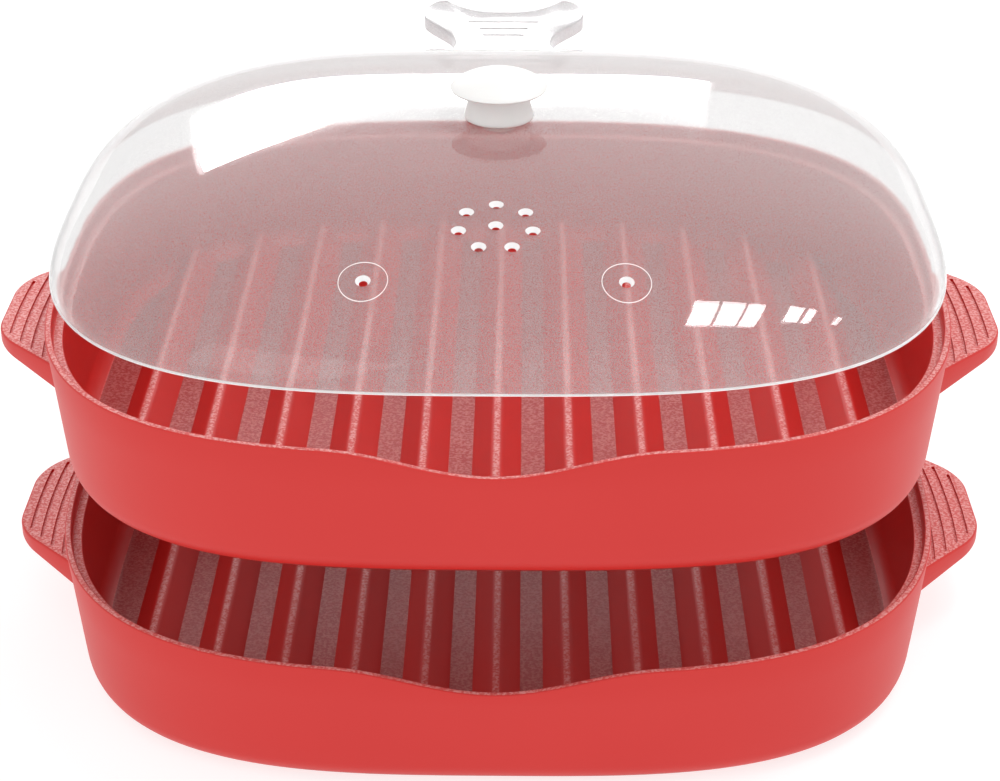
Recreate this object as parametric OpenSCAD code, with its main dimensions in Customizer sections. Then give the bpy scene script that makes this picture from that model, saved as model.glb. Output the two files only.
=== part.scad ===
// Two-tier ridged microwave cooking tray set with a vented dome lid.
// Millimetres, +Z up. Origin at the centre of the lower tray's base.
// Handles along X, front towards -Y, the lid's pull tab towards +Y.

/* [Tray] */
// Outside length of a tray at its rim, along X
tray_length = 276.8; // [200:0.2:380]
// Outside width of a tray at its rim, along Y
tray_width = 249.0; // [180:0.2:340]
// Height of a tray from base to rim
tray_height = 43.0; // [32:0.5:70]
// How square the rim outline is: 2 is an ellipse
rim_power = 2.98; // [2.2:0.01:5]
// How square the base outline is
base_power = 3.22; // [2.2:0.01:5]
// Inward slope of the outside wall from rim to base
draft_in = 5.2; // [2:0.1:9]
// Radius of the outside bottom edge
base_round = 7.5; // [3:0.1:10]
// Floor thickness
floor_t = 2.4; // [1.8:0.1:3.6]
// Radius where the inside wall meets the floor
inner_round = 6.0; // [3:0.1:9]

/* [Rim] */
// Width of the flat top of the rim
rim_flat = 2.0; // [1.2:0.1:3]
// Depth of the lid ledge below the rim
ledge_drop = 4.2; // [2:0.1:8]
// Width of the lid ledge
ledge_width = 3.0; // [2:0.1:5]
// Depth of the pouring dip in the front rim
dip_depth = 8.0; // [0:0.1:14]
// Half width of the pouring dip
dip_half = 48.0; // [20:1:80]

/* [Ridges] */
// Number of ridges on each side of the middle one
ridges_side = 5; // [2:1:6]
// Distance from crest to crest
ridge_pitch = 22.0; // [14:0.5:30]
// Width of a ridge at the floor
ridge_base = 14.8; // [8:0.1:20]
// Height of a ridge above the floor
ridge_height = 6.0; // [3:0.1:9]
// Radius of a ridge's crest
crest_round = 3.0; // [1.5:0.1:5]
// Wall left between a ridge and the groove below it
ridge_wall = 2.3; // [1.6:0.1:3]
// Width of the plain band across the underside
base_band = 12.0; // [6:1:40]

/* [Handles] */
// Overall length over both handles
handle_span = 315.4; // [230:0.2:440]
// Top of a handle above the tray's base
handle_top = 27.2; // [18:0.2:40]
// Half width of a handle at the wall
handle_half = 43.3; // [25:0.1:60]
// Corner radius of a handle's tip
handle_round = 24.0; // [8:0.5:30]
// Thickness of a handle at its tip
handle_tip_t = 4.2; // [3:0.1:8]
// Thickness of a handle at the wall
handle_root_t = 8.4; // [6:0.1:14]
// Number of grip grooves on a handle
grip_count = 4; // [0:1:5]
// Width and depth of a grip groove
grip_width = 1.0; // [0.6:0.1:2]

/* [Lid] */
// Gap between the lid's edge and the rim around it
lid_gap = 0.8; // [0.4:0.1:2]
// Lid wall thickness
lid_t = 1.5; // [1:0.1:3]
// Height of the lid's dome
dome_height = 33.48; // [15:0.2:60]
// How flat the dome's top is
dome_top_power = 2.758; // [1.8:0.01:4]
// How full the dome's shoulder is
dome_side_power = 1.691; // [1.2:0.01:3]
// Squareness of the dome's outline near its top
dome_plan_power = 4.0; // [2.5:0.1:5]

/* [Vents] */
// Diameter of a steam vent
vent_d = 4.4; // [2:0.1:8]
// Radius of the ring of vents
vent_ring = 10.7; // [6:0.1:20]
// Number of vents in the ring
vent_count = 7; // [3:1:10]
// Distance of the vent group from the lid's centre
vent_y = 72.5; // [20:0.5:90]
// Sideways distance of the two single vents
single_x = 36.1; // [15:0.5:80]
// Distance of the two single vents from the lid's centre line
single_y = 95.1; // [20:0.5:100]

/* [Pull tab] */
// Height of the tab's top above the lid's edge
tab_rise = 13.0; // [7:0.1:20]
// Tab wall thickness
tab_t = 1.8; // [1.4:0.1:3]
// Depth of the tab's turned-down edge
tab_edge = 5.0; // [3.5:0.1:5.5]
// How far the tab reaches out from the lid's edge
tab_reach = 55.0; // [30:0.5:80]
// Widest part of the tab
tab_width = 59.4; // [36:0.2:90]
// Narrowest part of the tab
tab_waist = 34.4; // [16:0.2:60]
// Depth of the hollow in the tab's far edge
tab_notch = 13.7; // [0:0.1:20]

/* [Knob] */
// Diameter of the knob's cap
knob_d = 29.9; // [18:0.1:50]
// Height of the knob above the lid
knob_h = 15.35; // [10:0.05:30]
// Diameter of the knob's stem under the cap
stem_top_d = 18.9; // [8:0.1:30]
// Diameter of the knob's stem at the lid
stem_base_d = 21.4; // [8:0.1:34]
// Diameter of the screw that holds the knob
screw_d = 5.0; // [3:0.1:8]

/* [Layout] */
// Height step from one tray's base to the next, apart as displayed
tier_step = 71.1; // [46:0.1:140]
// Height of the lid's edge above the upper tray's rim, apart as displayed
lid_lift = 16.4; // [0:0.1:120]

/* [Hidden] */
half_l = tray_length / 2;
half_w = tray_width / 2;
ledge_in = rim_flat + ledge_width;
inner_slope = 2.4;
lid_l = half_l - rim_flat - lid_gap;
lid_w = half_w - rim_flat - lid_gap;
lid_z = tier_step + tray_height + lid_lift;
apex_z = lid_z + dome_height;
seat_z = apex_z - 0.03;
knob_top = seat_z + knob_h;
seg = 96;
red = [0.80, 0.16, 0.14];
clear = [0.86, 0.90, 0.90, 0.4];
white = [0.93, 0.93, 0.92];

// ---------- outline and loft helpers ----------

// unit point of a superellipse of power p at angle t
function unit_pt(t, p) =
    let (c = cos(t), s = sin(t), q = pow(pow(abs(c), p) + pow(abs(s), p), 1 / p))
    [c / q, s / q];

// outline of a superellipse as a list of 2-D points
function outline(a, b, p) =
    [for (i = [0 : seg - 1]) let (u = unit_pt(i * 360 / seg, p)) [a * u[0], b * u[1]]];

// closed solid through rings of equal point count, flat at both ends
module loft(rings) {
    k = len(rings);
    pts = [for (r = rings) for (q = r) q];
    sides = [for (j = [0 : k - 2]) for (i = [0 : seg - 1])
        let (n = (i + 1) % seg)
        each [[j * seg + i, j * seg + n, (j + 1) * seg + n],
              [j * seg + i, (j + 1) * seg + n, (j + 1) * seg + i]]];
    low = [for (i = [seg - 1 : -1 : 0]) i];
    high = [for (i = [0 : seg - 1]) (k - 1) * seg + i];
    polyhedron(pts, [for (f = concat([low], sides, [high])) [for (i = [len(f) - 1 : -1 : 0]) f[i]]]);
}

// ---------- tray ----------

// inset of the outside wall at height z, without the bottom round
function wall_in(z) = draft_in * (1 - z / tray_height);

// inset of the inside wall at height z
function cavity_in(z) = ledge_in + inner_slope * (1 - z / (tray_height - ledge_drop));

// pouring dip at a rim point
function dip(x, y) =
    (y < 0 && abs(x) < dip_half) ? dip_depth * 0.5 * (1 + cos(180 * x / dip_half)) : 0;

// outline power at height z
function power_at(z) = base_power + (rim_power - base_power) * z / tray_height;

// level ring at height z, inset from the rim outline
function ring_at(z, inset) =
    [for (q = outline(half_l - inset, half_w - inset, power_at(z))) [q[0], q[1], z]];

// rim ring: follows the dip, set in from the wall and dropped from the top
function rim_ring(inset, drop) =
    [for (i = [0 : seg - 1])
        let (u = unit_pt(i * 360 / seg, rim_power),
             d = dip(half_l * u[0], half_w * u[1]),
             e = wall_in(tray_height - d) + inset)
        [(half_l - e) * u[0], (half_w - e) * u[1], tray_height - drop - d]];

// point on a quarter round: [inset, height] for angle f
function quarter(r, f) = [r * (1 - sin(f)), r * (1 - cos(f))];

function outer_rings() =
    [for (f = [0 : 22.5 : 90])
        let (q = quarter(base_round, f)) ring_at(q[1], wall_in(q[1]) + q[0])];

function inner_rings() =
    [for (f = [90 : -22.5 : 0])
        let (q = quarter(inner_round, f), z = floor_t + q[1]) ring_at(z, cavity_in(z) + q[0])];

// base, outside wall, rim, ledge, inside wall and floor in one skin
module tray_shell() {
    loft(concat(
        outer_rings(),
        [rim_ring(0, 0)],
        [rim_ring(rim_flat, 0)],
        [rim_ring(rim_flat + 0.1, ledge_drop)],
        [rim_ring(ledge_in, ledge_drop)],
        inner_rings()));
}

// arch of a ridge: half width w at z = 0, crest radius r, height h
module arch(w, h, r, below) {
    d = norm([w, h - r]);
    f = atan2(h - r, w) + asin(r / d);
    union() {
        translate([0, h - r])
            circle(r, $fn = 40);
        polygon([[-w, 0], [-w, -below], [w, -below], [w, 0],
                 [r * sin(f), h - r + r * cos(f)],
                 [-r * sin(f), h - r + r * cos(f)]]);
    }
}

module row_of(step, count) {
    for (i = [-count : count])
        translate([i * step, 0, 0])
            children();
}

module along_y(length) {
    rotate([90, 0, 0])
        linear_extrude(length, center = true)
            children();
}

// ridges standing on the floor, ending inside the wall
module ridges() {
    intersection() {
        row_of(ridge_pitch, ridges_side)
            translate([0, 0, floor_t])
                along_y(tray_width)
                    arch(ridge_base / 2, ridge_height, crest_round, 0.5);
        loft([ring_at(floor_t - 0.5, 9.5), ring_at(floor_t + 2, 6.6), ring_at(floor_t + ridge_height + 1, 6.2)]);
    }
}

// grooves under the ridges, either side of the plain band
module grooves() {
    side = norm([ridge_base / 2, ridge_height - crest_round]);
    slope = atan2(ridge_height - crest_round, ridge_base / 2) + asin(crest_round / side);
    foot = ridge_base / 2 + floor_t / tan(slope) - ridge_wall / sin(slope);
    crest = crest_round - ridge_wall + 0.4;
    rise = floor_t + ridge_height - ridge_wall;
    intersection() {
        row_of(ridge_pitch, ridges_side)
            along_y(tray_width)
                arch(foot, rise, crest, 1);
        difference() {
            translate([0, 0, -1])
                linear_extrude(rise + 2)
                    polygon(outline(half_l - 16, half_w - 16, base_power));
            cube([tray_length, base_band, 4 * rise], center = true);
        }
    }
}

// handle outline on the +X side: angled sides, large corner rounds
module handle_outline(shrink) {
    tip = handle_span / 2 - shrink;
    r = handle_round - shrink;
    root = half_l - 4.4;
    edge = root + handle_half - shrink * sqrt(2);
    cx = tip - r;
    cy = edge - cx - r * sqrt(2);
    for (s = [-1, 1])
        translate([cx, s * cy])
            circle(r, $fn = 96);
    polygon([[root, -(edge - root)], [cx + r * sqrt(0.5), -(cy + r * sqrt(0.5))], [tip, -cy],
             [tip, cy], [cx + r * sqrt(0.5), cy + r * sqrt(0.5)], [root, edge - root]]);
}

// one curved grip groove with round ends
module grip(x, half_len) {
    bow = 300;
    r = bow + x - half_l;
    a = asin(half_len / r);
    translate([half_l - bow, 0, handle_top - grip_width * 0.8]) {
        rotate([0, 0, -a])
            rotate_extrude(angle = 2 * a, $fn = 360)
                translate([r - grip_width / 2, 0])
                    square([grip_width, 2]);
        for (s = [-1, 1])
            rotate([0, 0, s * a])
                translate([r, 0, 0])
                    cylinder(h = 2, r = grip_width / 2, $fn = 16);
    }
}

module handle() {
    tip = handle_span / 2;
    root = half_l - 4.4;
    fall = atan2(handle_root_t - handle_tip_t, tip - root);
    difference() {
        intersection() {
            translate([0, 0, handle_top - handle_root_t])
                linear_extrude(handle_root_t)
                    intersection() {
                        handle_outline(0);
                        translate([root, -tray_width / 2])
                            square([tip, tray_width]);
                    }
            // slanted underside, thinner towards the tip
            translate([root, 0, handle_top - handle_root_t])
                rotate([0, -fall, 0])
                    translate([-10, -tray_width / 2, 0])
                        cube([60, tray_width, 40]);
        }
        // shallow hollow underneath
        translate([0, 0, handle_top - handle_root_t - 1])
            linear_extrude(4.6)
                intersection() {
                    handle_outline(2.4);
                    translate([half_l, -tray_width / 2])
                        square([tip, tray_width]);
                }
        for (g = [0 : grip_count - 1])
            grip(tip - 4.2 - g * 3.9, 19 + g * 5.4);
    }
}

module tray() {
    difference() {
        union() {
            tray_shell();
            ridges();
            handle();
            mirror([1, 0, 0])
                handle();
        }
        grooves();
    }
}

module lower_tray() {
    color(red)
        tray();
}

module upper_tray() {
    color(red)
        translate([0, 0, tier_step])
            tray();
}

// ---------- lid ----------

// dome ring at angle f: 90 is the edge, 0 the top
function dome_ring(f, t) =
    let (rho = pow(sin(f), 2 / dome_top_power),
         z = (dome_height - t) * pow(cos(f), 2 / dome_side_power),
         p = dome_plan_power + (3 - dome_plan_power) * rho)
    [for (q = outline((lid_l - t) * rho, (lid_w - t) * rho, p)) [q[0], q[1], lid_z + z]];

dome_steps = [87, 82, 76, 69, 61, 52, 43, 34, 25, 16, 8, 2];

module dome(t, below) {
    loft(concat(
        [[for (q = dome_ring(90, t)) [q[0], q[1], lid_z - below]]],
        below > 0 ? [dome_ring(90, t)] : [],
        [for (f = dome_steps) dome_ring(f, t)]));
}

// half outline of the fishtail tab, from its root outwards, set in by an amount
function tab_side(inset) =
    let (y0 = lid_w - 13.5, y1 = lid_w + 5.5, y2 = lid_w + tab_reach - 16.5, ye = lid_w + tab_reach,
         waist = tab_waist / 2 - inset, wide = tab_width / 2 - inset)
    concat(
        [[waist + 10, y0 - 4]],
        [for (s = [0 : 0.125 : 1]) [waist + 10 * pow(1 - s, 1.6), y0 + s * (y1 - y0)]],
        [for (s = [0.1 : 0.1 : 1])
            [waist + (wide - waist) * (1 - cos(180 * pow(s, 1.2))) / 2, y1 + s * (y2 - y1)]],
        [for (a = [15 : 15 : 90])
            [wide - 7.2 * (1 - cos(a)), y2 + (ye - inset - y2) * sin(a)]],
        [for (s = [1 : -0.125 : 0.1])
            [(wide - 8.2) * s, ye - inset - tab_notch * (1 - pow(s, 2.7)) - 0.3]]);

module tab_plan(inset) {
    side = tab_side(inset);
    k = len(side);
    polygon(concat(side, [for (i = [k - 1 : -1 : 0]) [-side[i][0], side[i][1]]]));
}

// plate with a turned-down edge and three grip lines
module tab() {
    top = lid_z + tab_rise;
    difference() {
        translate([0, 0, top - tab_edge])
            linear_extrude(tab_edge)
                tab_plan(0);
        translate([0, 0, top - tab_edge - 1])
            linear_extrude(1 + tab_edge - tab_t)
                intersection() {
                    tab_plan(tab_t);
                    translate([-tab_width, lid_w])
                        square([2 * tab_width, tab_reach]);
                }
        for (g = [0 : 2])
            translate([0, lid_w + 14.8 + g * 7.4, top])
                cube([15.2 + g * g * 2.8, 0.9, 1], center = true);
    }
}

module vent(x, y) {
    translate([x, y, lid_z + 2])
        cylinder(h = dome_height + 10, r = vent_d / 2, $fn = 32);
}

module lid() {
    color(clear)
        difference() {
            union() {
                dome(0, 0);
                tab();
            }
            dome(lid_t, 1);
            vent(0, -vent_y);
            for (i = [0 : vent_count - 1])
                let (a = 90 + i * 360 / vent_count)
                    vent(vent_ring * cos(a), -vent_y + vent_ring * sin(a));
            vent(single_x, -single_y);
            vent(-single_x, -single_y);
            // flat seat for the knob and the hole for its screw
            translate([0, 0, seat_z])
                cylinder(h = 5, r = stem_base_d / 2 + 1, $fn = 96);
            translate([0, 0, seat_z - 8])
                cylinder(h = 20, r = screw_d / 2 + 0.3, $fn = 48);
        }
}

// ---------- knob and its screw ----------

module knob() {
    under = seat_z + 9.0;
    wide = seat_z + 9.8;
    cap = knob_d / 2;
    crown = (pow(cap - 1.5, 2) + pow(knob_top - wide - 2.2, 2)) / (2 * (knob_top - wide - 2.2));
    color(white)
        difference() {
            rotate_extrude($fn = 128)
                polygon(concat(
                    [[0, seat_z], [stem_base_d / 2 - 0.6, seat_z], [stem_base_d / 2, seat_z + 0.8]],
                    [for (s = [0.2 : 0.2 : 1])
                        [stem_base_d / 2 - (stem_base_d - stem_top_d) / 2 * sin(90 * s), seat_z + 0.8 + s * 7]],
                    [[stem_top_d / 2 + 0.3, under - 0.5], [stem_top_d / 2 + 1.2, under]],
                    [[cap - 0.7, under], [cap - 0.15, under + 0.3], [cap, wide]],
                    [[cap - 0.15, wide + 1.1], [cap - 0.6, wide + 1.8], [cap - 1.5, wide + 2.2]],
                    [for (s = [0.85 : -0.15 : 0.05])
                        let (x = s * (cap - 1.5))
                        [x, knob_top - crown + sqrt(crown * crown - x * x)]],
                    [[0, knob_top]]));
            translate([0, 0, seat_z - 1])
                cylinder(h = 11, r = screw_d / 2 - 0.02, $fn = 48);
        }
}

module knob_screw() {
    head_top = seat_z + 0.03 - lid_t - 0.04;
    color(white)
        difference() {
            union() {
                translate([0, 0, head_top])
                    cylinder(h = 9, r = screw_d / 2, $fn = 48);
                translate([0, 0, head_top - 2.4])
                    cylinder(h = 2.4, r = 5.5, $fn = 64);
            }
            // driver slot
            translate([0, 0, head_top - 2.4])
                cube([12, 1.4, 2.4], center = true);
        }
}

lower_tray();
upper_tray();
lid();
knob();
knob_screw();
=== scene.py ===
# %% [markdown]
# # Two ridged microwave trays under a vented dome lid
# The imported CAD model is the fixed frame: it gives every place and size. The red trays, the clear
# lid and the white knob are modelled again here, finely enough to catch light the way moulded
# plastic does, and each one rides on the CAD body it stands for.

# %% Load the frame
import math
import bmesh
import bpy
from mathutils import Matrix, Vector


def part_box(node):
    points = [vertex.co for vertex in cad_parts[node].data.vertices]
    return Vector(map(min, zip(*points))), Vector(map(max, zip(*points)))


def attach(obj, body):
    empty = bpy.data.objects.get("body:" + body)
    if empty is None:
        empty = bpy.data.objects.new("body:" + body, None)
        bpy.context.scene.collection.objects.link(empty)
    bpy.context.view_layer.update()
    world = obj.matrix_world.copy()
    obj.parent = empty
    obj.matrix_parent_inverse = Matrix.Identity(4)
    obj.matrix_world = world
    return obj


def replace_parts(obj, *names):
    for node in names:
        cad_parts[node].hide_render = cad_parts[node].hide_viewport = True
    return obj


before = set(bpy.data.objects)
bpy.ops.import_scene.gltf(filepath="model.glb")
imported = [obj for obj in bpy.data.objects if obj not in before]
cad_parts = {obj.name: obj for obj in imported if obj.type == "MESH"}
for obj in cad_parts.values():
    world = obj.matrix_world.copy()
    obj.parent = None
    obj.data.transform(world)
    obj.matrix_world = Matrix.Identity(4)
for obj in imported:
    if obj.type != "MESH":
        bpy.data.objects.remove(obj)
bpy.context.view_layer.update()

MM = 0.001

# %% [markdown]
# ## Selecting and placing point by point
# Operators act on whatever is selected, and the CAD nodes arrive selected, so each step starts by
# selecting one thing only. Most of these mouldings are a wall swept round a rounded outline. The
# quickest way to shape such a wall is to start from a circle of points and extrude its edge again
# and again, laying each new ring of points at its own size and height.

# %% Selection helpers
def only(*objs):
    if bpy.context.mode != "OBJECT":
        bpy.ops.object.mode_set(mode="OBJECT")
    bpy.ops.object.select_all(action="DESELECT")
    for o in objs:
        o.select_set(True)
    bpy.context.view_layer.objects.active = objs[0]


def ring_start(name, count, place):
    only(next(iter(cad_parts.values())))
    bpy.ops.object.select_all(action="DESELECT")
    bpy.ops.mesh.primitive_circle_add(vertices=count, radius=0.1, fill_type="NOTHING")
    piece = bpy.context.object
    piece.name = piece.data.name = name
    bpy.ops.object.mode_set(mode="EDIT")
    bm = bmesh.from_edit_mesh(piece.data)
    turn = bm.verts.layers.int.new("turn")
    bm.verts.ensure_lookup_table()
    for v in bm.verts:
        v[turn] = v.index
        v.co = place(v.index)
    bpy.ops.mesh.select_all(action="SELECT")
    return piece


def ring_next(piece, place):
    bpy.ops.mesh.extrude_edges_move()
    bm = bmesh.from_edit_mesh(piece.data)
    turn = bm.verts.layers.int["turn"]
    for v in bm.verts:
        if v.select:
            v.co = place(v[turn])


def ring_close(piece):
    bpy.ops.mesh.select_all(action="SELECT")
    bpy.ops.mesh.fill_holes(sides=0)
    bpy.ops.mesh.select_all(action="SELECT")
    bpy.ops.mesh.normals_make_consistent(inside=False)
    if bmesh.from_edit_mesh(piece.data).calc_volume(signed=True) < 0:
        bpy.ops.mesh.flip_normals()
    bpy.ops.object.mode_set(mode="OBJECT")
    return piece


def sweep(name, count, places):
    piece = ring_start(name, count, places[0])
    for place in places[1:]:
        ring_next(piece, place)
    return ring_close(piece)


# %% [markdown]
# Some details are cut from a flat outline: the handles, their grip grooves, the tab. A plate is the
# same circle of points laid on the outline, filled and extruded to its thickness. Holes and grooves
# are then cut with the Boolean modifier, as a drill or an end mill would cut them.

# %% Plates and cuts
def plate(name, points, bottom, top):
    """Flat plate in mm; bottom is a height, or a function of x that gives one."""
    def under(i):
        x, y = points[i]
        z = bottom(x) if callable(bottom) else bottom
        return Vector((x * MM, y * MM, z * MM))

    def over(i):
        x, y = points[i]
        return Vector((x * MM, y * MM, top * MM))
    return sweep(name, len(points), [under, over])


def cut(piece, tool, how="DIFFERENCE"):
    only(piece)
    m = piece.modifiers.new(how.title(), "BOOLEAN")
    m.operation, m.solver, m.object = how, "EXACT", tool
    m.material_mode = "TRANSFER"
    bpy.ops.object.modifier_apply(modifier=m.name)
    bpy.data.objects.remove(tool)
    return piece


def round_edges(piece, width, segments=3):
    only(piece)
    m = piece.modifiers.new("Rounded", "BEVEL")
    m.width, m.segments = width * MM, segments
    m.limit_method, m.angle_limit = "ANGLE", math.radians(50)
    bpy.ops.object.modifier_apply(modifier=m.name)


def smooth(piece, angle=32):
    only(piece)
    bpy.ops.object.shade_smooth_by_angle(angle=math.radians(angle))


def triangles(piece):
    return sum(len(p.vertices) - 2 for p in piece.data.polygons)


# %% [markdown]
# ## Outline of the trays
# The rim is neither a rectangle nor an ellipse. A superellipse, whose power sets how square it is,
# gives the same soft corners and the same slight bow along each side. The base is a little smaller
# and a little squarer, so the wall leans in as any moulded wall must to leave its mould.

# %% Outline
tray_low, tray_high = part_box("lower_tray")
STEP = (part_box("upper_tray")[0].z - tray_low.z) / MM
H = (tray_high.z - tray_low.z) / MM
A, B = 138.4, 124.5                  # half length and half width at the rim
RIM_POWER, BASE_POWER = 2.98, 3.22   # how square the rim and the base are
LEAN, INSIDE_LEAN = 5.2, 2.4         # how far the wall leans in, outside and inside
RIM, LEDGE, DROP = 2.0, 5.0, 4.2     # rim width, inner edge of the ledge, its depth below the rim
FLOOR, FOOT, COVE = 2.4, 7.5, 6.0    # floor thickness, outer and inner base rounds
DIP_DEPTH, DIP_HALF = 8.0, 48.0      # pouring dip
TURNS = 360


def unit(i, count, power):
    c, s = math.cos(2 * math.pi * i / count), math.sin(2 * math.pi * i / count)
    q = (abs(c) ** power + abs(s) ** power) ** (1 / power)
    return c / q, s / q


def squareness(z):
    return BASE_POWER + (RIM_POWER - BASE_POWER) * z / H


def wall_lean(z):
    return LEAN * (1 - z / H)


def pour_dip(x, y):
    if y >= 0 or abs(x) >= DIP_HALF:
        return 0.0
    return DIP_DEPTH / 2 * (1 + math.cos(math.pi * x / DIP_HALF))


print("tray height", H, "mm, step between trays", round(STEP, 2), "mm")

# %% [markdown]
# ## Tray wall, rim and floor
# One red moulding. Going up the outside, over the rim and down the inside, the section has a round
# foot, a leaning wall, a narrow rim with eased edges, the ledge that carries the lid, and a cove
# where the inside wall turns into the floor. The rim dips at the front for pouring, so the rim
# rings follow the dip and the rings well below it stay level.

# %% Tray shell
def level(inset, z):
    def place(i):
        u, v = unit(i, TURNS, squareness(z))
        return Vector(((A - inset) * u, (B - inset) * v, z)) * MM
    return place


def at_rim(inset, drop):
    def place(i):
        u, v = unit(i, TURNS, RIM_POWER)
        d = pour_dip(A * u, B * v)
        e = wall_lean(H - d) + inset
        return Vector(((A - e) * u, (B - e) * v, H - drop - d)) * MM
    return place


def arc(steps):
    return [math.radians(90 * k / steps) for k in range(steps + 1)]


def inside_wall(z):
    return LEDGE + INSIDE_LEAN * (1 - z / (H - DROP))


def tray_rings():
    rings = []
    for f in arc(9):
        z = FOOT * (1 - math.cos(f))
        rings.append(level(wall_lean(z) + FOOT * (1 - math.sin(f)), z))
    rings += [level(wall_lean(z), z) for z in (13, 20, 26, 31)]
    ease, nose = 0.45, 0.4
    rings += [at_rim(ease * (1 - math.cos(f)), ease * (1 - math.sin(f))) for f in arc(3)]
    rings += [at_rim(RIM - ease + ease * math.sin(f), ease * (1 - math.cos(f))) for f in arc(3)]
    rings += [at_rim(RIM + 0.05, DROP - 0.3), at_rim(RIM + 0.35, DROP), at_rim(LEDGE - nose, DROP)]
    rings += [at_rim(LEDGE - nose + nose * math.sin(f), DROP + nose * (1 - math.cos(f)))
              for f in arc(3)[1:]]
    rings += [level(inside_wall(z), z) for z in (24, 18, 13)]
    for f in reversed(arc(9)):
        z = FLOOR + COVE * (1 - math.cos(f))
        rings.append(level(inside_wall(z) + COVE * (1 - math.sin(f)), z))
    return rings


shell = sweep("tray_shell", TURNS, tray_rings())
print("shell faces", len(shell.data.polygons))

# %% [markdown]
# ## Floor ridges
# Eleven ridges run front to back and hold food out of its juices. Each is a low arch with straight
# flanks and a rounded crest. Its section is extruded from wall to wall, with ends that slope like
# the cove so that they stay hidden inside the wall, and is repeated a pitch at a time.

# %% Ridges
PITCH, HALF, RISE, CREST = 22.0, 7.4, 6.0, 3.0   # pitch, half base, height, crest radius
SUNK = 0.4                                       # how deep a ridge stands in the floor


def ridge_section():
    hub = RISE - CREST
    lean = math.atan2(hub, HALF) + math.asin(CREST / math.hypot(HALF, hub))
    turns = [lean * (1 - k / 12) for k in range(25)]
    crest = [(-CREST * math.sin(a), hub + CREST * math.cos(a)) for a in turns]
    return [(-HALF, -SUNK), (-HALF, 0.0)] + crest + [(HALF, 0.0), (HALF, -SUNK)]


def wall_reach(x, z):
    e = 11.5 - 0.78 * (z - 2)        # inset of the sloping end at this height
    n = squareness(z)
    return (B - e) * (1 - min(abs(x) / (A - e), 1) ** n) ** (1 / n)


def ridge(x0):
    section = [(x0 + x, FLOOR + z) for x, z in ridge_section()]

    def end(side):
        return lambda i: Vector((section[i][0], side * wall_reach(*section[i]), section[i][1])) * MM
    return sweep("ridge", len(section), [end(-1), end(1)])


ridges = [ridge(PITCH * k) for k in range(-5, 6)]
print("ridges", len(ridges), "pitch", PITCH, "mm")

# %% [markdown]
# ## Side handles
# A handle is a thick lip below the rim: a flat grained top, big corner rounds, and an underside that
# slopes up to a thin tip with a shallow hollow moulded into it. The plate is made from its outline,
# hollowed by an inset and an extrude, eased with a bevel, and then four curved grip grooves are cut.

# %% Handle outline and body
TIP, TOP, ROOT = 157.7, 27.2, 134.0        # handle tip, top face, and root inside the wall
HANDLE_HALF, HANDLE_ROUND = 43.3, 24.0     # half width at the root and corner radius
ROOT_THICK, TIP_THICK = 8.4, 4.2


def handle_outline():
    r, steps = HANDLE_ROUND, 14
    cx = TIP - r
    cy = ROOT + HANDLE_HALF - cx - r * math.sqrt(2)
    side = [(cx + r * math.cos(a), cy + r * math.sin(a))
            for a in (math.radians(45 * k / steps) for k in range(steps + 1))]
    half = [(TIP, 0.0), (TIP, cy / 2)] + side + [(ROOT, HANDLE_HALF)]
    return [(x, -y) for x, y in reversed(half[1:])] + half


def handle_under(x):
    return TOP - ROOT_THICK + (ROOT_THICK - TIP_THICK) * (x - ROOT) / (TIP - ROOT)


def handle_body():
    body = plate("handle", handle_outline(), handle_under, TOP)
    bpy.ops.object.mode_set(mode="EDIT")
    bpy.ops.mesh.select_all(action="DESELECT")
    bm = bmesh.from_edit_mesh(body.data)
    for f in bm.faces:
        f.select = f.normal.z < -0.7
    bpy.ops.mesh.inset(thickness=2.2 * MM)
    bpy.ops.mesh.extrude_region_move(TRANSFORM_OT_translate={"value": (0, 0, 1.8 * MM)})
    bpy.ops.object.mode_set(mode="OBJECT")
    round_edges(body, 0.7)
    return body


handle = handle_body()
print("handle faces", len(handle.data.polygons))

# %% [markdown]
# Each grip groove is a shallow slot with round ends on a gentle bow. It is laid out as an outline
# that goes along one side, round the end and back, extruded, and taken out of the handle. The
# second handle is the first one mirrored, so its faces are turned outward again.

# %% Grip grooves
BOW = 300.0                                # radius of the grooves' gentle bow
GROOVE, GROOVE_DEEP = 1.05, 0.9


def groove_outline(x, half_len):
    cx, bow, w = A - BOW, BOW + x - A, GROOVE / 2
    turn = math.asin(half_len / bow)
    c, s = math.cos(turn), math.sin(turn)
    turns = [turn - 2 * turn * k / 24 for k in range(25)]
    end = [(bow + w * math.cos(f), w * math.sin(f))
           for f in (math.radians(22.5 * k) for k in range(1, 8))]
    path = [(cx + (bow + w) * math.cos(t), -(bow + w) * math.sin(t)) for t in turns]
    path += [(cx + r * c - d * s, r * s + d * c) for r, d in end]
    path += [(cx + (bow - w) * math.cos(t), (bow - w) * math.sin(t)) for t in turns]
    path += [(cx + r * c - d * s, -r * s - d * c) for r, d in reversed(end)]
    return path


for g in range(4):
    outline = groove_outline(TIP - 4.2 - 3.9 * g, 19 + 5.4 * g)
    handle = cut(handle, plate("groove", outline, TOP - GROOVE_DEEP, TOP + 1))

only(handle)
bpy.ops.object.duplicate()
other = bpy.context.object
bpy.ops.transform.mirror(constraint_axis=(True, False, False))
bpy.ops.object.transform_apply(location=True, rotation=True, scale=True)
bpy.ops.object.mode_set(mode="EDIT")
bpy.ops.mesh.select_all(action="SELECT")
bpy.ops.mesh.normals_make_consistent(inside=False)
bpy.ops.object.mode_set(mode="OBJECT")
reach = [min(v.co.x for v in other.data.vertices), max(v.co.x for v in handle.data.vertices)]
print("handles reach x", [round(x, 4) for x in reach])

# %% [markdown]
# The pieces of one tray are joined into a single mesh, and the upper tray is a copy of the lower
# one, raised by the step between the two, because both come out of the same mould.

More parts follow.
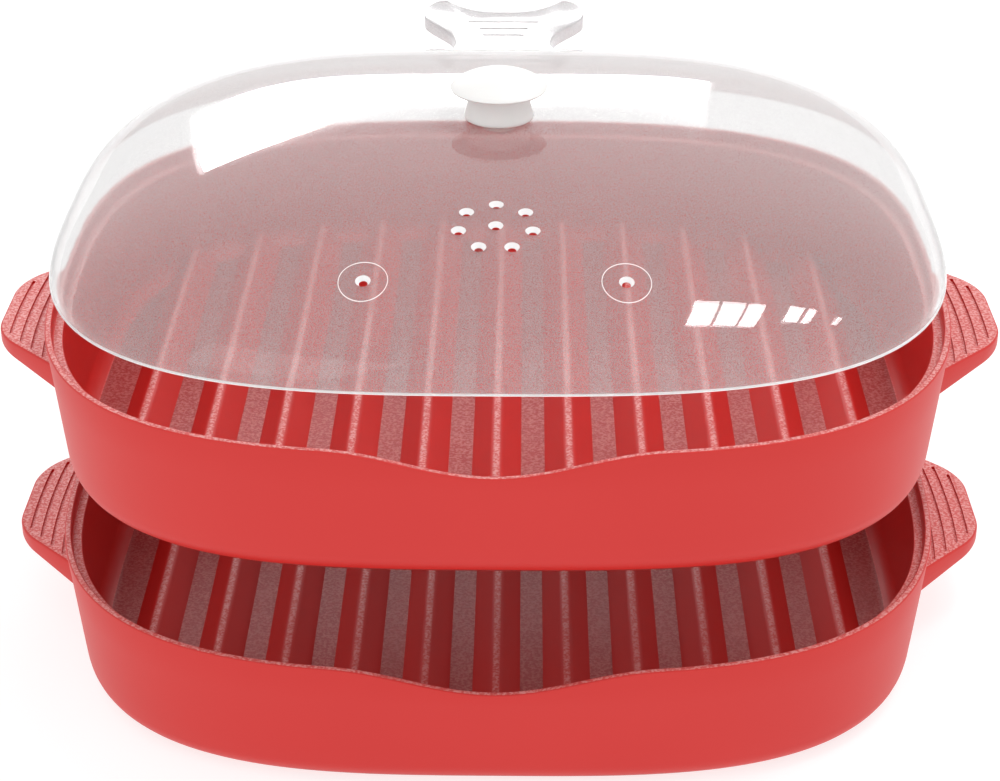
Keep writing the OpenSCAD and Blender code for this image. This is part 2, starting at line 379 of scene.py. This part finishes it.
# %% Join and copy the tray
only(shell, handle, other, *ridges)
bpy.ops.object.join()
shell.name = shell.data.name = "lower_tray_moulding"
smooth(shell)
lower = shell
upper = lower.copy()
upper.data = lower.data.copy()
upper.name = upper.data.name = "upper_tray_moulding"
bpy.context.scene.collection.objects.link(upper)
for v in upper.data.vertices:
    v.co.z += STEP * MM
print("tray triangles", triangles(lower))

# %% [markdown]
# ## Lid
# The lid is a thin clear shell whose height follows the same idea as the outline: nearly flat on
# top, full at the shoulder and upright at the edge. It is swept as one closed skin, first the inside
# from the crown down to the edge, then round the edge and up the outside, so that light bends at
# both faces as it does in real acrylic.

# %% Lid surface
lid_low, lid_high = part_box("lid")
LZ = lid_low.z / MM
LA, LB = (lid_high.x - lid_low.x) / 2 / MM, 121.7   # half length and half width
DOME, WALL = 33.48, 1.5                             # dome height and wall thickness
FLAT_TOP, FULL_SIDE = 2.758, 1.691                  # powers of the dome's profile
CROWN_POWER = 4.0                                   # plan squareness at the crown; 3 at the edge
LTURNS = 320


def on_lid(f, t):
    rho = math.sin(f) ** (2 / FLAT_TOP)
    z = LZ + (DOME - t) * math.cos(f) ** (2 / FULL_SIDE)
    power = CROWN_POWER - rho

    def place(i):
        u, v = unit(i, LTURNS, power)
        return Vector(((LA - t) * rho * u, (LB - t) * rho * v, z)) * MM
    return place


def lid_height(x, y):
    rho = 0.5
    for _ in range(30):
        n = CROWN_POWER - rho
        rho = ((abs(x) / LA) ** n + (abs(y) / LB) ** n) ** (1 / n)
    return LZ + DOME * (1 - rho ** FLAT_TOP) ** (1 / FULL_SIDE)


steps = (2, 4, 7, 10, 13, 16, 20, 24, 28, 32, 36, 40, 44, 48, 52, 56, 60, 64, 67, 70,
         73, 75.5, 78, 80, 82, 84, 85.5, 87, 88.2)
crown_to_edge = [math.radians(a) for a in steps]
inside = [on_lid(f, WALL) for f in crown_to_edge]


def lid_edge(inset, z):
    def place(i):
        u, v = unit(i, LTURNS, CROWN_POWER - 1)
        return Vector(((LA - inset) * u, (LB - inset) * v, LZ + z)) * MM
    return place


EDGE_ROUND = 0.35
edge = [lid_edge(inset, z) for inset, z in (
    (WALL, EDGE_ROUND), (1.38, 0.1), (1.1, 0.0), (0.4, 0.0), (0.12, 0.1), (0.0, EDGE_ROUND))]
outside = [on_lid(f, 0.0) for f in reversed(crown_to_edge)]
lid = sweep("lid_dome", LTURNS, inside + edge + outside)
print("lid crown", round(lid_height(0, 0.1), 2), "mm, faces", len(lid.data.polygons))

# %% [markdown]
# ## Pull tab
# A fishtail of the same clear plastic stands out behind the dome: a thin plate whose edge turns
# down all round, with three raised grip lines across it. The plate is trimmed where it meets the
# dome's wall. It becomes one solid with the dome further on, by a Boolean union, once both have
# their materials, because the real lid and tab are one moulding.

# %% Tab outline
TAB_TOP = LZ + 13.0
TAB_WALL, TAB_EDGE = 1.8, 5.0                       # plate thickness and depth of the turned edge
TAB_WAIST, TAB_HALF, TAB_REACH, NOTCH = 17.2, 29.7, 55.0, 13.7


def tab_half(inset):
    y0, y1, y2, ye = LB - 13.5, LB + 5.5, LB + 38.5, LB + TAB_REACH - inset
    waist, wide = TAB_WAIST - inset, TAB_HALF - inset
    side = [(waist + 10, y0 - 2)]
    for s in (k / 12 for k in range(13)):           # flared root
        side.append((waist + 10 * (1 - s) ** 1.6, y0 + s * (y1 - y0)))
    for s in (k / 16 for k in range(1, 17)):        # out to the tail
        swell = (1 - math.cos(math.pi * s ** 1.2)) / 2
        side.append((waist + (wide - waist) * swell, y1 + s * (y2 - y1)))
    for a in (math.radians(9 * k) for k in range(1, 11)):   # round lobe
        side.append((wide - 7.2 * (1 - math.cos(a)), y2 + (ye - y2) * math.sin(a)))
    for s in (1 - k / 14 for k in range(14)):       # notch between the lobes
        side.append(((wide - 8.2) * s, ye - NOTCH * (1 - s ** 2.7) - 0.2))
    return side


def tab_outline(inset=0.0):
    side = tab_half(inset)
    return side + [(-x, y) for x, y in reversed(side)]


def grip_outline(half_len, y):
    end = 0.94
    corners = ((-1, -0.3), (-end, -0.5), (end, -0.5), (1, -0.3),
               (1, 0.3), (end, 0.5), (-end, 0.5), (-1, 0.3))
    return [(x * half_len, y + w) for x, w in corners]


tab = plate("tab", tab_outline(), TAB_TOP - TAB_EDGE, TAB_TOP)
round_edges(tab, 0.6)
tab = cut(tab, plate("hollow", tab_outline(TAB_WALL), TAB_TOP - 7.0, TAB_TOP - TAB_WALL))
for g in range(3):
    outline = grip_outline(7.6 + g * g * 1.4, LB + 14.8 + 7.4 * g)
    line = plate("grip_line", outline, TAB_TOP - 0.6, TAB_TOP + 0.3)
    round_edges(line, 0.2, 2)
    tab = cut(tab, line, "UNION")
DEEP = 0.7                                          # the tab's end stands this deep in the wall
core_rings = [lid_edge(DEEP, -3.0), lid_edge(DEEP, 0.3)]
core_rings += [on_lid(f, DEEP) for f in reversed(crown_to_edge)]
tab = cut(tab, sweep("core", LTURNS, core_rings))
print("tab faces", len(tab.data.polygons))

# %% [markdown]
# ## Steam vents
# One group of eight small vents and two single ones, each single one in a thin raised ring, let steam
# out. A vent is a tapered hole: wide on top and narrow below, so its slanted wall catches the
# light. The tapered drill is a swept cone, tilted to stand square to the dome where it is used.
# The drilling itself waits until the lid has its materials, so that the holes get their own.

# %% Tapered drill
def tilt_at(x, y):
    d = 0.5
    dx = (lid_height(x + d, y) - lid_height(x - d, y)) / (2 * d)
    dy = (lid_height(x, y + d) - lid_height(x, y - d)) / (2 * d)
    return Vector((-dx, -dy, 1)).normalized()


def on_circle(r, z, i, count):
    a = 2 * math.pi * i / count
    return Vector((r * math.cos(a), r * math.sin(a), z))


def round_rings(x, y, sections, count):
    n = tilt_at(x, y)
    q = n.to_track_quat("Z", "Y")
    centre = Vector((x, y, lid_height(x, y)))
    return [lambda i, r=r, h=h: (centre + q @ on_circle(r, h, i, count)) * MM for r, h in sections]


VENT_Y, VENT_RING, AROUND = -72.5, 10.7, 7
angles = [math.radians(90 + 360 * k / AROUND) for k in range(AROUND)]
vents = [(0.0, VENT_Y)] + [(VENT_RING * math.cos(a), VENT_Y + VENT_RING * math.sin(a)) for a in angles]
singles = [(36.1, -95.1), (-36.1, -95.1)]
print("vents", len(vents) + len(singles))

# %% [markdown]
# ## Knob
# A white moulded knob: a waisted stem and a shallow mushroom cap with a thin eased edge. It is a
# turned shape, so each point of its section becomes one ring.

# %% Knob
knob_low, knob_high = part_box("knob")
KZ, KT = knob_low.z / MM, knob_high.z / MM
CAP = (knob_high.x - knob_low.x) / 2 / MM
FLATTER = 0.7                    # the crown is modelled this much flatter than the CAD's
KTURNS = 160


def knob_section():
    under, wide = KZ + 9.0, KZ + 9.8
    stem = [(10.7 - 1.25 * math.sin(math.pi / 2 * s), KZ + 0.7 + 7.4 * s)
            for s in (k / 10 for k in range(11))]
    foot = [(0.3, KZ), (9.9, KZ), (10.35, KZ + 0.08), (10.62, KZ + 0.32)]
    throat = [(9.5, KZ + 8.45), (9.8, KZ + 8.75), (10.5, under - 0.06)]
    lip = [(12.0, under), (13.8, under + 0.02), (14.45, under + 0.16), (14.8, under + 0.42),
           (CAP, wide)]
    top = []
    for k in range(1, 21):
        r = max(CAP * (1 - k / 20) ** 0.7, 0.3)
        top.append((r, wide + (KT - FLATTER - wide) * (1 - (r / CAP) ** 2.3) ** 0.8))
    return foot + stem + throat + lip + top


knob = sweep("lid_knob", KTURNS, [
    lambda i, r=r, z=z: on_circle(r, z, i, KTURNS) * MM for r, z in knob_section()])
smooth(knob, 40)
print("knob", round(KZ, 2), "to", round(KT, 2), "mm")

# %% [markdown]
# ## Colours and nodes
# Colours are picked as sRGB hex values and turned to the linear values that shaders work in. One
# small function adds a node, sets it and links it.

# %% Material helpers
def linear(code):
    parts = [int(code[i:i + 2], 16) / 255 for i in (1, 3, 5)]
    return tuple(c / 12.92 if c <= 0.04045 else ((c + 0.055) / 1.055) ** 2.4 for c in parts) + (1.0,)


def add(tree, kind, inputs=None, **settings):
    n = tree.nodes.new("ShaderNode" + kind)
    for key, value in settings.items():
        setattr(n, key, value)
    for key, value in (inputs or {}).items():
        if isinstance(value, bpy.types.NodeSocket):
            tree.links.new(value, n.inputs[key])
        else:
            n.inputs[key].default_value = value
    return n


def new_material(name):
    m = bpy.data.materials.new(name)
    m.use_nodes = True
    m.node_tree.nodes.clear()
    return m, m.node_tree


def dress(piece, *materials):
    piece.data.materials.clear()
    for m in materials:
        piece.data.materials.append(m)


# %% [markdown]
# ## Red moulded polypropylene
# The tray walls are smooth from a polished mould, and every face that looks up, the rim, the ledge,
# the handle tops, the valleys and the crests, has a fine spark-eroded grain that scatters light and
# shows as speckle. The paler pink mixed into those specks is a painted highlight for light glinting
# off the grain, so its strength follows how far the surface faces up; the valleys get a darker red
# and less of it, as painted shade. Real grain is about 0.3 mm across, drawn here at about 0.45 mm
# so that it shows.

# %% Red plastic
def red_plastic(name, least_painted_sheen, most_painted_sheen, code_a="#CC1F1A", code_b="#D12620"):
    m, t = new_material(name)
    place = add(t, "TexCoord").outputs["Object"]
    up = add(t, "SeparateXYZ", {0: add(t, "NewGeometry").outputs["Normal"]}).outputs["Z"]
    faces_up = add(t, "MapRange", {0: up, 1: 0.90, 2: 0.995, 3: 0.0, 4: 1.0},
                   clamp=True, interpolation_type="SMOOTHSTEP").outputs[0]
    grit = add(t, "TexNoise", {"Vector": place, "Scale": 1000 / 0.9, "Detail": 2.0, "Roughness": 0.6})
    speck = add(t, "MapRange", {0: grit.outputs["Fac"], 1: 0.42, 2: 0.62, 3: 0.0, 4: 1.0},
                clamp=True).outputs[0]
    flow = add(t, "TexNoise", {"Vector": place, "Scale": 1000 / 60, "Detail": 2.0})
    base = add(t, "Mix", {0: flow.outputs["Fac"], 6: linear(code_a), 7: linear(code_b)},
               data_type="RGBA").outputs[2]
    # Painted highlight: on faces that look up, the grain's specks are mixed towards pale pink to stand
    # for overhead light glinting off the grain.
    painted_sheen = add(t, "MapRange", {0: speck, 1: 0.0, 2: 1.0, 3: least_painted_sheen, 4: most_painted_sheen}).outputs[0]
    painted_sheen_share = add(t, "Math", {0: faces_up, 1: painted_sheen}, operation="MULTIPLY").outputs[0]
    colour = add(t, "Mix", {0: painted_sheen_share, 6: base, 7: linear("#F0B4B0")}, data_type="RGBA").outputs[2]
    rough = add(t, "MapRange", {0: faces_up, 1: 0.0, 2: 1.0, 3: 0.46, 4: 0.5}).outputs[0]
    depth = add(t, "Math", {0: faces_up, 1: 0.55}, operation="MULTIPLY").outputs[0]
    bump = add(t, "Bump", {"Strength": depth, "Distance": 0.25 * MM,
                           "Height": grit.outputs["Fac"]}).outputs[0]
    shader = add(t, "BsdfPrincipled", {"Base Color": colour, "Roughness": rough, "IOR": 1.49,
                                       "Normal": bump})
    add(t, "OutputMaterial", {"Surface": shader.outputs[0]})
    return m


red = red_plastic("red_polypropylene_moulded", 0.18, 0.84)
# Painted shade: the valleys down between the ridges get a darker red and a weaker painted highlight,
# as the ridges and what stands above keep light off them.
red_valley_painted_shade = red_plastic("red_polypropylene_valley_painted_shade", 0.02, 0.27, "#A22220", "#A82624")
for piece, base in ((lower, 0.0), (upper, STEP)):
    dress(piece, red, red_valley_painted_shade)
    for p in piece.data.polygons:
        x, y, z = p.center / MM
        reach = (abs(x) / (A - 6.8)) ** 3.1 + (abs(y) / (B - 6.8)) ** 3.1
        # Floor faces low between the ridges, inside the wall, take the darker painted-shade red.
        p.material_index = 1 if reach < 1 and base + 1 < z < base + 2.8 else 0
print("red plastic on", lower.name, upper.name)

# %% [markdown]
# ## Clear acrylic lid
# The outside of the lid is polished, so it mirrors the studio sharply. The inside has a very fine
# matt grain, which keeps steam from beading and lays a thin white veil over what lies behind it. So
# the two faces of the shell get two finishes. A mix on shadow rays lets the lamps reach the food
# side, as thin clear plastic does. The vents are drilled here, so that their walls take the frosted
# finish of their drill.

# %% Clear plastics
def clear_plastic(name, haze, roughness, grain=0.0, tint="#F1F0F0"):
    m, t = new_material(name)
    place = add(t, "TexCoord").outputs["Object"]
    shader = add(t, "BsdfPrincipled", {"Base Color": linear(tint), "Roughness": roughness, "IOR": 1.49,
                                       "Transmission Weight": 1.0 - haze})
    grit = add(t, "TexNoise", {"Vector": place, "Scale": 1000 / 0.3, "Detail": 1.0})
    if grain:
        bump = add(t, "Bump", {"Strength": grain, "Distance": 0.02 * MM,
                               "Height": grit.outputs["Fac"]})
        t.links.new(bump.outputs[0], shader.inputs["Normal"])
        veil = add(t, "MapRange", {0: grit.outputs["Fac"], 1: 0.35, 2: 0.65,
                                   3: 1 - 0.75 * haze, 4: 1 - 1.25 * haze}, clamp=True)
        t.links.new(veil.outputs[0], shader.inputs["Transmission Weight"])
    else:
        swirl = add(t, "TexNoise", {"Vector": place, "Scale": 1000 / 40, "Detail": 1.0})
        rough = add(t, "MapRange", {0: swirl.outputs["Fac"], 3: roughness, 4: roughness + 0.01})
        t.links.new(rough.outputs[0], shader.inputs["Roughness"])
    see = add(t, "BsdfTransparent", {"Color": linear("#F4F2F2")})
    path = add(t, "LightPath").outputs["Is Shadow Ray"]
    both = add(t, "MixShader", {0: path, 1: shader.outputs[0], 2: see.outputs[0]})
    add(t, "OutputMaterial", {"Surface": both.outputs[0]})
    return m


polished = clear_plastic("clear_acrylic_polished", 0.0, 0.015)
matt = clear_plastic("clear_acrylic_fine_matt", 0.31, 0.03, 0.02)
frosted = clear_plastic("clear_acrylic_moulded_edge", 0.9, 0.25, 0.0, "#FFFFFF")
milky = clear_plastic("clear_acrylic_thick_tab", 0.5, 0.12, 0.02, "#E0DEDF")
dress(lid, polished, matt, frosted)
for p in lid.data.polygons:
    p.material_index = 2 if p.center.z < (LZ + 0.4) * MM else 1 if p.normal.z < -0.002 else 0
dress(tab, milky)
lid = cut(lid, tab, "UNION")
taper = [(0.9, -4.0), (1.1, -1.55), (2.2, 0.05), (2.3, 2.0)]   # radius and height along the drill
for x, y in vents + singles:
    drill = sweep("drill", 32, round_rings(x, y, taper, 32))
    dress(drill, frosted)
    lid = cut(lid, drill)
smooth(lid, 30)
print("lid materials", [m.name for m in lid.data.materials])
print("lid triangles", triangles(lid))

# %% [markdown]
# ## Vent rings
# A hair-thin ring stands round each single vent. It starts as a flat torus, and each of its points
# is then lifted to the dome's height below it.

# %% Rings on the dome
rings = []
for x, y in singles:
    bpy.ops.object.select_all(action="DESELECT")
    bpy.ops.mesh.primitive_torus_add(major_segments=96, minor_segments=12,
                                     major_radius=6.8 * MM, minor_radius=0.13 * MM)
    ring = bpy.context.object
    for v in ring.data.vertices:
        u, w = v.co.x / MM + x, v.co.y / MM + y
        v.co = Vector((u, w, lid_height(u, w) + v.co.z / MM)) * MM
    rings.append(ring)
print("rings", len(rings))

# %% [markdown]
# ## White knob and nylon screw
# The knob is white polypropylene with a satin mould finish that lets a little light into its
# surface. The hidden screw below it is natural nylon, and its CAD solid is already right.

# %% White plastics
def white_plastic(name, code, roughness):
    m, t = new_material(name)
    place = add(t, "TexCoord").outputs["Object"]
    cloud = add(t, "TexNoise", {"Vector": place, "Scale": 1000 / 12, "Detail": 2.0})
    rough = add(t, "MapRange", {0: cloud.outputs["Fac"], 3: roughness - 0.04,
                                4: roughness + 0.06}).outputs[0]
    skin = add(t, "TexNoise", {"Vector": place, "Scale": 1000 / 0.7, "Detail": 1.0})
    bump = add(t, "Bump", {"Strength": 0.12, "Distance": 0.05 * MM,
                           "Height": skin.outputs["Fac"]}).outputs[0]
    shader = add(t, "BsdfPrincipled", {"Base Color": linear(code), "Roughness": rough, "IOR": 1.49,
                                       "Normal": bump, "Subsurface Weight": 0.2,
                                       "Subsurface Scale": 2 * MM,
                                       "Subsurface Radius": (1.0, 0.9, 0.8)})
    add(t, "OutputMaterial", {"Surface": shader.outputs[0]})
    return m


dress(knob, white_plastic("white_moulded_polypropylene", "#F6F5F3", 0.32))
dress(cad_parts["knob_screw"], white_plastic("natural_nylon", "#EFEDE6", 0.45))
for r in rings:
    dress(r, frosted)
    smooth(r, 40)

# %% [markdown]
# ## Riding on the bodies
# Each piece is tied to the body it belongs to, so it moves with it when the trays are stacked or
# the lid is lifted, and it stands for the CAD node it replaces.

# %% Ride and replace
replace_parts(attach(lower, "lower_tray"), "lower_tray")
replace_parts(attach(upper, "upper_tray"), "upper_tray")
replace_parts(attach(lid, "lid"), "lid")
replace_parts(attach(knob, "lid"), "knob")
for k, r in enumerate(rings):
    r.name = r.data.name = f"vent_ring_{k + 1}"
    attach(r, "lid")

# %% [markdown]
# ## Floor and light
# A flat floor of white paper that glows a little, so that it stays white with only a faint shadow, a
# bright even room, one large softbox behind that mirrors in the lid's crown, a soft key from the
# front left, and a small window overhead on the right that puts crisp panes on the lid's shoulder.

# %% Studio
FLOOR_GLOW, ROOM_LIGHT, PANE_LIGHT = 0.74, 0.86, 12 * math.pi   # strengths; watts per square metre
bpy.ops.object.select_all(action="DESELECT")
bpy.ops.mesh.primitive_plane_add(size=12, location=(0, 2, -0.0004))
paper = bpy.context.object
paper.name = "paper_floor"
m, t = new_material("white_paper")
shader = add(t, "BsdfPrincipled", {"Base Color": linear("#A4A4A4"), "Roughness": 0.9,
                                   "Emission Color": (1, 1, 1, 1), "Emission Strength": FLOOR_GLOW})
add(t, "OutputMaterial", {"Surface": shader.outputs[0]})
dress(paper, m)

world = bpy.data.worlds.new("bright_room")
world.use_nodes = True
backdrop = world.node_tree.nodes["Background"].inputs
backdrop[0].default_value, backdrop[1].default_value = (1, 1, 1, 1), ROOM_LIGHT
bpy.context.scene.world = world


def softbox(name, place, aim, size_x, size_y, watts):
    data = bpy.data.lights.new(name, "AREA")
    data.shape, data.size, data.size_y, data.energy = "RECTANGLE", size_x, size_y, watts
    lamp = bpy.data.objects.new(name, data)
    bpy.context.scene.collection.objects.link(lamp)
    lamp.location = place
    lamp.rotation_euler = (Vector(aim) - Vector(place)).to_track_quat("-Z", "Y").to_euler()


softbox("back_softbox", (-0.125, 1.44, 0.575), (0, 0, 0.163), 0.84, 0.21, 4.0)
softbox("front_key", (-0.9, -1.3, 1.3), (0, 0, 0.08), 1.2, 1.2, 2.5)
panes = ((0.325, 0.02, 0.07, 0.30), (0.41, 0.02, 0.08, 0.30), (0.495, 0.02, 0.07, 0.30),
         (0.69, 0.08, 0.09, 0.22), (0.79, 0.08, 0.06, 0.22), (1.07, 0.07, 0.06, 0.15))
for k, (x, y, wide, deep) in enumerate(panes):
    watts = PANE_LIGHT * wide * deep
    softbox(f"window_pane_{k + 1}", (x, y, 1.25), (x, y, 0), wide, deep, watts)
print("floor, world and lights ready")

# %% [markdown]
# ## Camera
# A long lens looks down on the cooker from the front, a little to the right of its middle.

# %% Camera
eye = bpy.data.cameras.new("camera")
eye.lens, eye.sensor_width = 83.45, 36.0
eye.shift_x, eye.shift_y = 0.00115, -0.021
camera = bpy.data.objects.new("camera", eye)
bpy.context.scene.collection.objects.link(camera)
camera.location = (0.00796, -0.6703, 0.4195)
camera.rotation_euler = (Vector((0, 0, 0.0765)) - camera.location).to_track_quat("-Z", "Y").to_euler()
bpy.context.scene.camera = camera
bpy.context.scene.view_settings.view_transform = "Standard"
